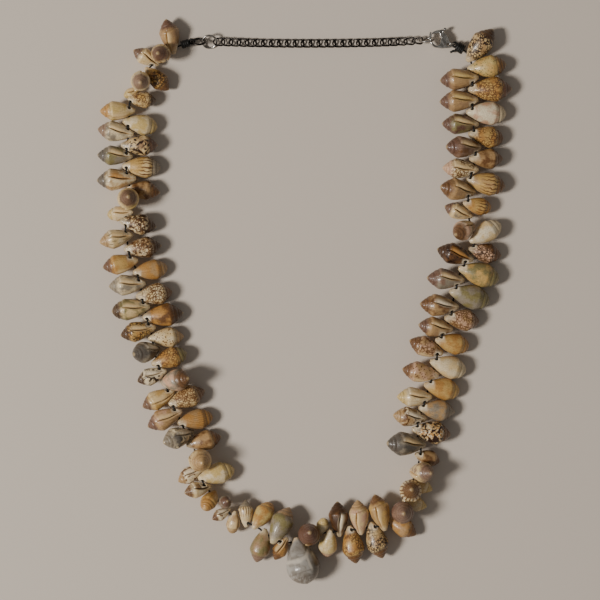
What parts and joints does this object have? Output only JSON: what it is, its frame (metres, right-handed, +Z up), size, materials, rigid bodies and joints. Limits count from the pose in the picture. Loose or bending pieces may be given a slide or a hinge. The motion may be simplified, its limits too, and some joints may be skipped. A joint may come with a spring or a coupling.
{
  "type": "shell necklace",
  "caption": "Necklace of small drilled dove shells on a knotted cord, with a larger shell pendant, curb chain, jump rings and lobster clasp, laid out closed and flat.",
  "frame": {"origin": "centre of the bounding box, on the floor the necklace lies on", "axes": "+Z up, +Y from the pendant towards the chain, +X to the right seen from above with the chain at the top"},
  "size_m": [0.158, 0.2146, 0.0167],
  "materials": {
    "shell": "naturally glossy shell",
    "pendant": "smooth shell",
    "cord": "waxed",
    "knot": "waxed",
    "dark_metal": "darkened",
    "metal": "polished"
  },
  "bodies": {
    "necklace": {"shells_left": "shell", "pendant_shell": "pendant", "shells_right": "shell", "stringing_cord": "cord", "cord_knot_left": "knot", "cord_knot_right": "knot", "ring_knot_left": "dark_metal", "ring_chain_left": "metal", "extension_chain": "dark_metal", "ring_hook_right": "metal", "clasp_body": "metal", "clasp_pin": "metal", "ring_clasp": "metal"},
    "lever": {"clasp_lever": "metal"}
  },
  "joints": [
    {"name": "clasp_lever_hinge", "type": "hinge", "parent": "necklace", "child": "lever", "pos_m": [0.05216, 0.10252, 0.00282], "axis": [0, 0, 1], "range_deg": [0, 16], "stiffness_Nm_per_rad": 0.0005}
  ]
}
